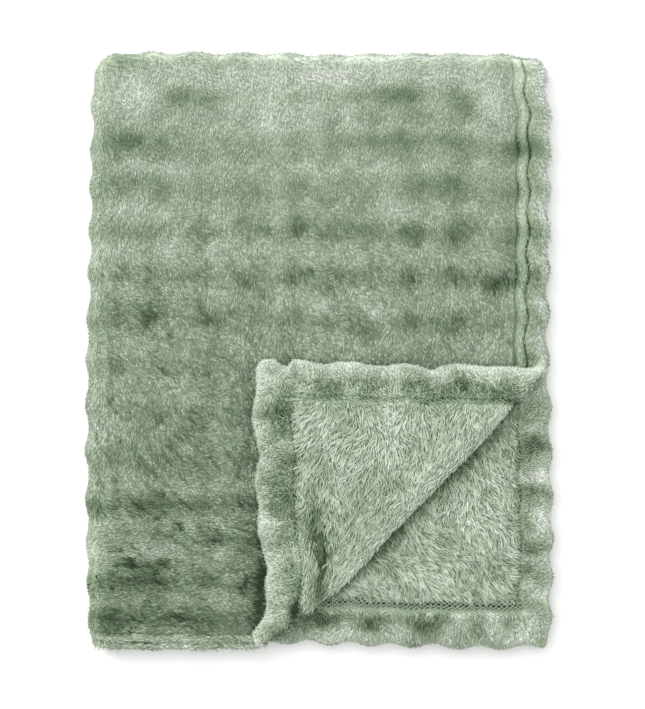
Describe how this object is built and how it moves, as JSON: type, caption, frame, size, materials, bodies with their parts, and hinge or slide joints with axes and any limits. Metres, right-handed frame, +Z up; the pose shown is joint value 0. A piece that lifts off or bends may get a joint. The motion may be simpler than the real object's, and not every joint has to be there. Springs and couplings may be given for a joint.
{
  "type": "bedspread, folded plush blanket",
  "caption": "Small plush bedspread folded in quarters and lying flat, with one corner of its top layer turned back over the embossed short-pile face to show the long-pile back.",
  "frame": {"origin": "middle of the folded blanket's outline, on the surface that it lies on", "axes": "+Y towards the folded top edge, along the longer side of the folded blanket; +X towards the open side with the hems; +Z up"},
  "size_m": [0.3916, 0.4996, 0.0455],
  "materials": {
    "plush": "soft short pile on the face and long pile on the back, sage green"
  },
  "bodies": {
    "root": {"blanket": "plush"}
  },
  "joints": []
}
